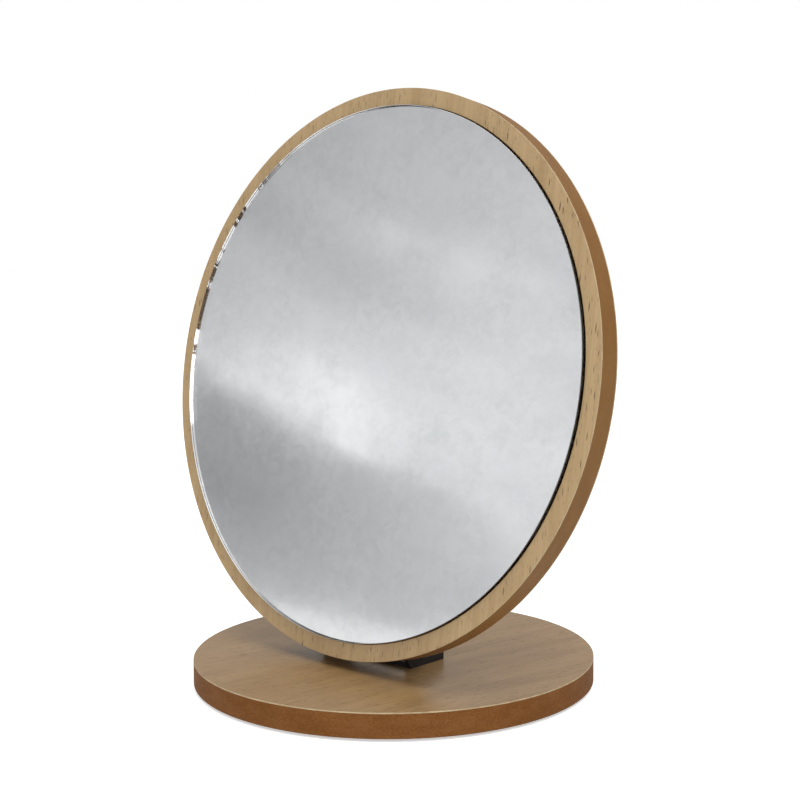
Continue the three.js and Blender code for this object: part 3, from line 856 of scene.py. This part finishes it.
@dataclass
class BaseBoard:
    """The round base: a fibreboard core between two laminates, on four soft pads."""

    lie: Lie = Lie((0.0, 0.0, math.radians(11.0)))
    sides: int = 256
    pad_sides: int = 64
    foil_round: float = 0.12
    edge_round: float = 0.2
    pad_round: float = 0.3

    def _slab(self, node: str, top_round: float, bottom_round: float) -> bpy.types.Object:
        """Turns one layer of the base from its node's box.

        Args:
            node: the layer's node.
            top_round: the rounding of its upper edge.
            bottom_round: the rounding of its lower edge.

        Returns:
            The layer.
        """
        low, high = (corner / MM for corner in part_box(node))
        radius = (high.x - low.x) / 2
        outline = [Corner(0.0, low.z), Corner(radius, low.z, bottom_round), Corner(radius, high.z, top_round),
                   Corner(0.0, high.z)]
        return spun(f"{node}_disc", outline, self.sides)

    def build(self) -> None:
        """Models the layers and the pads."""
        # Painted shade: the same beech laminate as the mirror's, given darker colours so the base's top reads
        # darker than the mirror's face.
        laminate = BeechLaminate("beech laminate of the base", self.lie, pale=(0.33, 0.205, 0.09),
                                 dark=(0.205, 0.117, 0.047), pore=(0.09, 0.045, 0.018), pore_share=0.75,
                                 roughness=0.3, shine=0.5, dust_and_sheen=0.07)
        core = BoardEdge("fibreboard of the base", self.lie)
        cut = CutPaper("cut edge of the base laminate", self.lie)
        foam = Coating("soft black foam", self.lie, colour=(0.014, 0.014, 0.014),
                       uneven=(0.022, 0.021, 0.02), roughness=0.8, spread=0.1, fineness=4.0, depth_mm=0.05)
        layers = (("base_core", core, 0.03, 0.03, "base_board"),
                  ("base_top_laminate", laminate, self.foil_round, 0.02, "beech_laminate"),
                  ("base_bottom_laminate", laminate, 0.02, self.edge_round, "beech_laminate"))
        for node, finish, top, bottom, slot in layers:
            piece = self._slab(node, top, bottom)
            piece.data.materials.append(dressed(finish))
            if slot == "beech_laminate":
                dress_sides(piece, cut if node == "base_top_laminate" else core)
            smooth(piece)
            hand_over(piece, "base", [node])
        for index in range(1, 5):
            self._pad(f"base_pad_{index}", foam)

    def _pad(self, node: str, foam: Coating) -> None:
        """Models one pad, with a soft lower edge.

        Args:
            node: the pad's node.
            foam: its finish.
        """
        low, high = (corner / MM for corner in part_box(node))
        radius = (high.x - low.x) / 2
        outline = [Corner(0.0, 0.0), Corner(radius, 0.0, self.pad_round), Corner(radius, high.z),
                   Corner(0.0, high.z)]
        piece = spun(f"{node}_foam", outline, self.pad_sides)
        middle = (low + high) / 2 * MM
        bake_place(piece, Matrix.Translation((middle.x, middle.y, 0.0)))
        smooth(piece)
        piece.data.materials.append(dressed(foam))
        hand_over(piece, "base", [node])


FINISHED: dict[str, bpy.types.Material] = {}


def dressed(finish: Finish) -> bpy.types.Material:
    """Builds a finish once and gives the same material each time.

    Args:
        finish: the finish.

    Returns:
        Its material.
    """
    if finish.name not in FINISHED:
        FINISHED[finish.name] = finish.material()
    return FINISHED[finish.name]


@dataclass
class MirrorBoard:
    """The leaning board: a dished fibreboard disc with a beech ring in front and a beech sheet behind."""

    line: HingeLine
    thickness: float = 9.0
    laminate: float = 0.5
    gap: float = 0.05
    pocket_radius: float = 97.9
    pocket_floor: float = 7.6
    sides: int = 256

    def build(self) -> None:
        """Models the three layers and dresses them."""
        lie = self.line.board_lie()
        laminate = BeechLaminate("beech laminate of the mirror", lie)
        edge = BoardEdge("fibreboard of the mirror", lie, body=(0.188, 0.085, 0.02),
                         pale=(0.24, 0.122, 0.034), dark=(0.11, 0.05, 0.015), speckle=0.4, roughness=0.5,
                         shine=0.2)
        cut = CutPaper("cut edge of the mirror laminate", lie)
        radius = self.line.board_radius
        front = self.thickness - self.laminate
        pocket = self.pocket_radius
        # Each layer meets the next with no line of shadow between them.
        core = [Corner(0.0, self.laminate + self.gap), Corner(radius, self.laminate + self.gap, 0.03),
                Corner(radius, front, 0.03), Corner(pocket, front), Corner(pocket, self.pocket_floor),
                Corner(0.0, self.pocket_floor)]
        ring = [Corner(pocket, front), Corner(radius, front), Corner(radius, self.thickness, 0.12),
                Corner(pocket, self.thickness, 0.05)]
        back = [Corner(0.0, 0.0), Corner(radius, 0.0, 0.12), Corner(radius, self.laminate + self.gap),
                Corner(0.0, self.laminate + self.gap)]
        layers = (("mirror_board", "mirror_board_disc", core, edge, "mirror_board"),
                  ("mirror_front_laminate", "mirror_front_ring", ring, laminate, "beech_laminate"),
                  ("mirror_back_laminate", "mirror_back_sheet", back, laminate, "beech_laminate"))
        for node, name, outline, finish, slot in layers:
            piece = spun(name, outline, self.sides)
            piece.data.materials.append(dressed(finish))
            if slot == "beech_laminate":
                dress_sides(piece, cut)
            bake_place(piece, self.line.board_back())
            smooth(piece)
            hand_over(piece, "mirror", [node])


@dataclass
class MirrorGlass:
    """The glass, silvered behind, standing proud of its pocket, and the tape that holds it."""

    line: HingeLine
    radius: float = 97.5
    back: float = 8.5
    thickness: float = 2.0
    arris: float = 0.15
    sides: int = 256

    def build(self) -> None:
        """Models the glass and dresses its face, its edge and its silvered back."""
        lie = self.line.board_lie()
        clear = dressed(ClearGlass("clear glass", lie))
        ground = dressed(ClearGlass("seamed glass edge", lie, roughness=0.02, uneven=0.1))
        silver = dressed(Silvering("silvering", lie))
        top = self.back + self.thickness
        outline = [Corner(0.0, self.back), Corner(self.radius - self.arris, self.back),
                   Corner(self.radius, self.back + self.arris), Corner(self.radius, top - self.arris),
                   Corner(self.radius - self.arris, top), Corner(0.0, top)]
        piece = spun("mirror_glass_pane", outline, self.sides)
        for finish in (clear, ground, silver):
            piece.data.materials.append(finish)
        for face in piece.data.polygons:
            if abs(face.normal.z) < 0.9:
                face.material_index = 1
            elif face.normal.z < 0:
                face.material_index = 2
        bake_place(piece, self.line.board_back())
        smooth(piece, 20.0)
        hand_over(piece, "mirror", ["mirror_glass"])
        tape = Coating("white foam tape", lie, colour=(0.78, 0.77, 0.72), uneven=(0.7, 0.69, 0.64),
                       roughness=0.85, fineness=3.0, depth_mm=0.05)
        for index in range(1, 5):
            dress_node(f"glass_tape_{index}", tape)


def dress_node(node: str, finish: Finish) -> None:
    """Gives a node that keeps its own shape its finish.

    Args:
        node: the node.
        finish: its finish.
    """
    data = frame["nodes"][node].data
    data.materials.clear()
    data.materials.append(dressed(finish))
    LOG.info("%s: dressed in %s", node, finish.name)


@dataclass
class Hinge:
    """The friction hinge: bracket, leaf, pin, washers, spring, nut, spacer and screws."""

    line: HingeLine
    sides: int = 72
    bore: float = 2.1
    shank: float = 2.0
    under_head: float = -22.8
    spring_steel: float = 0.5
    bracket_round: float = 0.3
    leaf_round: float = 0.25
    screw_round: float = 0.08

    def finishes(self) -> dict[str, Finish]:
        """Sets out the metal and nylon finishes.

        Returns:
            The finishes by slot.
        """
        lie = Lie(about=tuple(self.line.axis))
        return {
            "black_steel": Coating("black powder coat", lie, shine=0.3, fineness=2.4, depth_mm=0.03),
            "black_screw": Coating("black oxide", lie, colour=(0.03, 0.03, 0.032),
                                   uneven=(0.06, 0.058, 0.056), metallic=0.8, roughness=0.32, spread=0.16,
                                   fineness=5.0, depth_mm=0.004),
            "zinc_steel": Coating("bright zinc", lie, colour=(0.62, 0.63, 0.64), uneven=(0.5, 0.51, 0.53),
                                  metallic=1.0, roughness=0.24, spread=0.18, fineness=6.0, depth_mm=0.004),
            "nylon": Coating("natural nylon", lie, colour=(0.8, 0.78, 0.7), uneven=(0.74, 0.71, 0.63),
                             roughness=0.45, fineness=4.0, depth_mm=0.01),
        }

    def build(self) -> None:
        """Models every piece of the hinge and dresses it."""
        finishes = self.finishes()
        plates = (("hinge_bracket", "base", self.bracket_round), ("hinge_leaf", "mirror", self.leaf_round))
        for node, body, width in plates:
            self._metal(node, f"{node}_steel", body, "black_steel", width, finishes)
        self._metal("lock_nut", "lock_nut_metal", "base", "zinc_steel", self.leaf_round, finishes)
        screws = [(f"bracket_screw_{side}", "base") for side in ("left", "middle", "right")]
        screws += [(f"leaf_screw_{index}", "mirror") for index in range(1, 5)]
        for node, body in screws:
            self._metal(node, f"{node}_metal", body, "black_screw", self.screw_round, finishes)
        self._round_pieces(finishes)

    def _metal(self, node: str, name: str, body: str, slot: str, width: float,
               finishes: dict[str, Finish]) -> None:
        """Rounds and dresses a cut or folded metal piece.

        Args:
            node: the node that gives the shape.
            name: the piece's name.
            body: the body that it rides on.
            slot: the record's slot and the finish's key.
            width: the width of its rounded edges.
            finishes: the finishes by slot.
        """
        piece = softened(name, node, width)
        smooth(piece)
        piece.data.materials.append(dressed(finishes[slot]))
        hand_over(piece, body, [node])

    def _round_pieces(self, finishes: dict[str, Finish]) -> None:
        """Models what is threaded on the hinge line, each from its node's box.

        Args:
            finishes: the finishes by slot.
        """
        rings = (("pin_washer", "base", "zinc_steel", 0.12),
                 ("nut_washer", "base", "zinc_steel", 0.12),
                 ("friction_washer_left", "base", "nylon", 0.15),
                 ("friction_washer_right", "base", "nylon", 0.15),
                 ("spacer_tube", "mirror", "zinc_steel", 0.2))
        for node, body, slot, rounding in rings:
            low, high = self._span(node)
            outer = self._outer(node)
            outline = [Corner(self.bore, low), Corner(outer, low, rounding), Corner(outer, high, rounding),
                       Corner(self.bore, high)]
            self._turned(node, f"{node}_ring", outline, body, finishes[slot])
        low, high = self._span("disc_spring")
        outer = self._outer("disc_spring")
        spring = [Corner(self.bore, high - self.spring_steel), Corner(outer, low, 0.08),
                  Corner(outer, low + self.spring_steel, 0.15), Corner(self.bore, high, 0.1)]
        self._turned("disc_spring", "disc_spring_dish", spring, "base", finishes["zinc_steel"])
        low, high = self._span("hinge_pin")
        head, shank, under = self._outer("hinge_pin"), self.shank, self.under_head
        pin = [Corner(0.0, low), Corner(head * 0.62, low + 0.22, 0.5), Corner(head, under - 0.9, 0.6),
               Corner(head, under, 0.1), Corner(shank, under), Corner(shank, high, 0.3), Corner(0.0, high)]
        self._turned("hinge_pin", "hinge_pin_steel", pin, "base", finishes["zinc_steel"])

    def _span(self, node: str) -> tuple[float, float]:
        """Where a piece starts and ends along the hinge line, in millimetres.

        Args:
            node: the piece's node.

        Returns:
            Its lowest and highest X.
        """
        low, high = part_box(node)
        return low.x / MM, high.x / MM

    def _outer(self, node: str) -> float:
        """A turned piece's largest radius, in millimetres.

        Args:
            node: the piece's node.

        Returns:
            The radius.
        """
        low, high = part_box(node)
        return (high.z - low.z) / 2 / MM

    def _turned(self, node: str, name: str, outline: list[Corner], body: str, finish: Finish) -> None:
        """Turns one piece on the hinge line.

        Args:
            node: the node that it stands for.
            name: the piece's name.
            outline: its outline.
            body: the body that it rides on.
            finish: its finish.
        """
        piece = spun(name, outline, self.sides)
        bake_place(piece, self.line.across())
        smooth(piece)
        piece.data.materials.append(dressed(finish))
        hand_over(piece, body, [node])


# ---------------------------------------------------------------- studio


@dataclass(frozen=True)
class Lamp:
    """A square soft light that faces the object, with its side in metres and its power in watts."""

    name: str
    place: Triple
    side: float
    power: float


@dataclass
class Studio:
    """The floor, the backdrop that the glass faces, the lights and the camera."""

    azimuth_deg: float = 43.17
    elevation_deg: float = 5.74
    roll_deg: float = -0.46
    distance: float = 0.5307
    target: Triple = (0.00436, 0.0, 0.10531)
    lens: float = 64.61
    horizon: float = 0.24
    zenith: float = 1.18
    lamps: tuple[Lamp, ...] = (Lamp("key_light", (0.6, -0.15, 1.8), 1.3, 18.0),
                               Lamp("fill_light", (1.1, -1.35, 0.45), 1.15, 9.6))
    cloth_size: tuple[float, float] = (2.6, 2.2)
    cloth_place: Triple = (-1.15, -1.25, 0.75)
    cloth_facing: Triple = (0.68, 0.72, -0.05)
    cloth_light: float = 1.1
    slope: float = 0.21
    # Painted light and shade: each fold's height on the backdrop and the tone it glows with there.
    painted_fold_tones: tuple[tuple[float, float], ...] = (
        (-0.8, 0.4), (-0.74, 0.42), (-0.68, 0.34), (-0.57, 0.4), (-0.53, 0.32), (-0.5, 0.94),
        (-0.42, 0.82), (-0.3, 0.6), (-0.15, 0.52), (0.0, 0.43))

    def build(self) -> None:
        """Makes everything that isn't the object."""
        self._floor()
        self._backdrop()
        self._world()
        self._lights()
        self._camera()

    def _toward_camera(self) -> Vector:
        """The direction from the target to the camera."""
        turn, rise = math.radians(self.azimuth_deg), math.radians(self.elevation_deg)
        return Vector((math.sin(turn) * math.cos(rise), -math.cos(turn) * math.cos(rise), math.sin(rise)))

    def _camera(self) -> None:
        """Places the camera."""
        data = bpy.data.cameras.new("studio_camera")
        camera = bpy.data.objects.new("studio_camera", data)
        bpy.context.scene.collection.objects.link(camera)
        back = self._toward_camera()
        data.lens = self.lens
        data.sensor_width = 36.0
        data.clip_start, data.clip_end = 0.01, 50.0
        camera.rotation_mode = "QUATERNION"
        camera.location = Vector(self.target) + back * self.distance
        roll = Quaternion((0.0, 0.0, 1.0), math.radians(self.roll_deg))
        camera.rotation_quaternion = (-back).to_track_quat("-Z", "Y") @ roll
        bpy.context.scene.camera = camera

    def _floor(self) -> None:
        """A pale floor that is as white as the surround where the camera sees it."""
        lay_down_tools()
        bpy.ops.mesh.primitive_plane_add(size=12.0, location=(0.0, 0.0, 0.0))
        floor = bpy.context.object
        floor.name = "studio_floor"
        made, sheet, shader = Finish("pale floor").open()
        sheet.put(shader.inputs["Base Color"], (0.74, 0.74, 0.74, 1.0))
        sheet.put(shader.inputs["Roughness"], 0.7)
        seen = sheet.add("ShaderNodeLightPath").outputs["Is Camera Ray"]
        sheet.put(shader.inputs["Emission Color"], sheet.blend(seen, (0.02, 0.02, 0.02), (0.5, 0.5, 0.5)))
        sheet.put(shader.inputs["Emission Strength"], 1.0)
        floor.data.materials.append(made)

    def _backdrop(self) -> None:
        """A glowing panel far in front of the glass and to its left, painted as a soft grey cloth with
        painted light and shade on its folds, which the glass reflects.
        """
        lay_down_tools()
        bpy.ops.mesh.primitive_plane_add(size=1.0)
        cloth = bpy.context.object
        cloth.name = "studio_backdrop"
        cloth.data.transform(Matrix.Diagonal((*self.cloth_size, 1.0, 1.0)))
        cloth.rotation_euler = Vector(self.cloth_facing).to_track_quat("Z", "Y").to_euler()
        cloth.location = self.cloth_place
        made, sheet, shader = Finish("backdrop cloth").open()
        place = sheet.add("ShaderNodeTexCoord").outputs["Object"]
        parts = sheet.add("ShaderNodeSeparateXYZ")
        sheet.put(parts.inputs["Vector"], place)
        across, up = parts.outputs["X"], parts.outputs["Y"]
        drift = sheet.noise(sheet.stretched(place, (0.7, 2.4, 1.0)), 3.0, 4.0, 0.55, 0.3)
        wander = sheet.maths("MULTIPLY", sheet.maths("SUBTRACT", drift, 0.5), 0.22)
        lean = sheet.maths("MULTIPLY", across, self.slope)
        rise = sheet.maths("SUBTRACT", sheet.maths("ADD", up, wander), lean)
        # Painted light and shade of a folded cloth: a tone for each fold, darker sides and drawn streaks, all
        # glowing.
        ramp = sheet.add("ShaderNodeValToRGB")
        ramp.color_ramp.elements.remove(ramp.color_ramp.elements[1])
        for height, tone in self.painted_fold_tones:
            stop = ramp.color_ramp.elements.new(height + 1.0)
            stop.color = (tone, tone, tone * 1.01, 1.0)
        sheet.put(ramp.inputs["Fac"], sheet.maths("ADD", rise, 1.0))
        side = sheet.remap(across, -0.25, 0.2, 0.8, 0.0)
        tone = sheet.blend(side, ramp.outputs["Color"], (0.68, 0.68, 0.69))
        tone = sheet.blend(sheet.remap(across, 0.08, 0.3, 0.0, 0.4), tone, (0.26, 0.26, 0.27))
        along = sheet.add("ShaderNodeCombineXYZ")
        sheet.put(along.inputs["X"], across)
        sheet.put(along.inputs["Y"], rise)
        drawn = sheet.stretched(along.outputs["Vector"], (2.2, 9.0, 1.0), (3.0, 1.0, 0.0))
        streaks = sheet.noise(drawn, detail=5.0, rough=0.62)
        shade = sheet.blend(sheet.remap(streaks, 0.34, 0.66, 0.0, 1.0), (0.8, 0.81, 0.82), (1.12, 1.12, 1.12))
        tone = sheet.blend(1.0, tone, shade, "MULTIPLY")
        sheet.put(shader.inputs["Base Color"], (0.0, 0.0, 0.0, 1.0))
        sheet.put(shader.inputs["Specular IOR Level"], 0.0)
        sheet.put(shader.inputs["Emission Color"], tone)
        sheet.put(shader.inputs["Emission Strength"], self.cloth_light)
        cloth.data.materials.append(made)
        cloth.visible_camera = False
        cloth.visible_diffuse = False

    def _world(self) -> None:
        """A surround that is white to the camera and lights the object mostly from above."""
        world = bpy.data.worlds.new("studio_surround")
        bpy.context.scene.world = world
        world.use_nodes = True
        world.node_tree.nodes.clear()
        sheet = NodeSheet(world.node_tree)
        seen = sheet.add("ShaderNodeLightPath").outputs["Is Camera Ray"]
        surround = sheet.add("ShaderNodeBackground")
        sheet.put(surround.inputs["Color"], (1.0, 1.0, 1.0, 1.0))
        parts = sheet.add("ShaderNodeSeparateXYZ")
        sheet.put(parts.inputs["Vector"], sheet.add("ShaderNodeTexCoord").outputs["Generated"])
        light = sheet.remap(parts.outputs["Z"], 0.0, 1.0, self.horizon, self.zenith)
        sheet.put(surround.inputs["Strength"], sheet.maths("MAXIMUM", seen, light))
        sheet.put(sheet.add("ShaderNodeOutputWorld").inputs["Surface"], surround.outputs["Background"])

    def _lights(self) -> None:
        """A large soft light overhead and a weaker, lower one in front and to the right."""
        for lamp in self.lamps:
            data = bpy.data.lights.new(lamp.name, "AREA")
            data.size = lamp.side
            data.energy = lamp.power
            light = bpy.data.objects.new(lamp.name, data)
            light.location = lamp.place
            toward = Vector(self.target) - Vector(lamp.place)
            light.rotation_euler = toward.to_track_quat("-Z", "Y").to_euler()
            bpy.context.scene.collection.objects.link(light)
        bpy.context.scene.view_settings.view_transform = "Standard"


def main() -> None:
    """Builds the looks in order."""
    logging.basicConfig(level=logging.INFO, format="%(name)s %(message)s")
    line = HingeLine(Vector(frame["joints"][0]["pos_m"]))
    BaseBoard().build()
    MirrorBoard(line).build()
    MirrorGlass(line).build()
    Hinge(line).build()
    Studio().build()


if __name__ == "__main__":
    main()
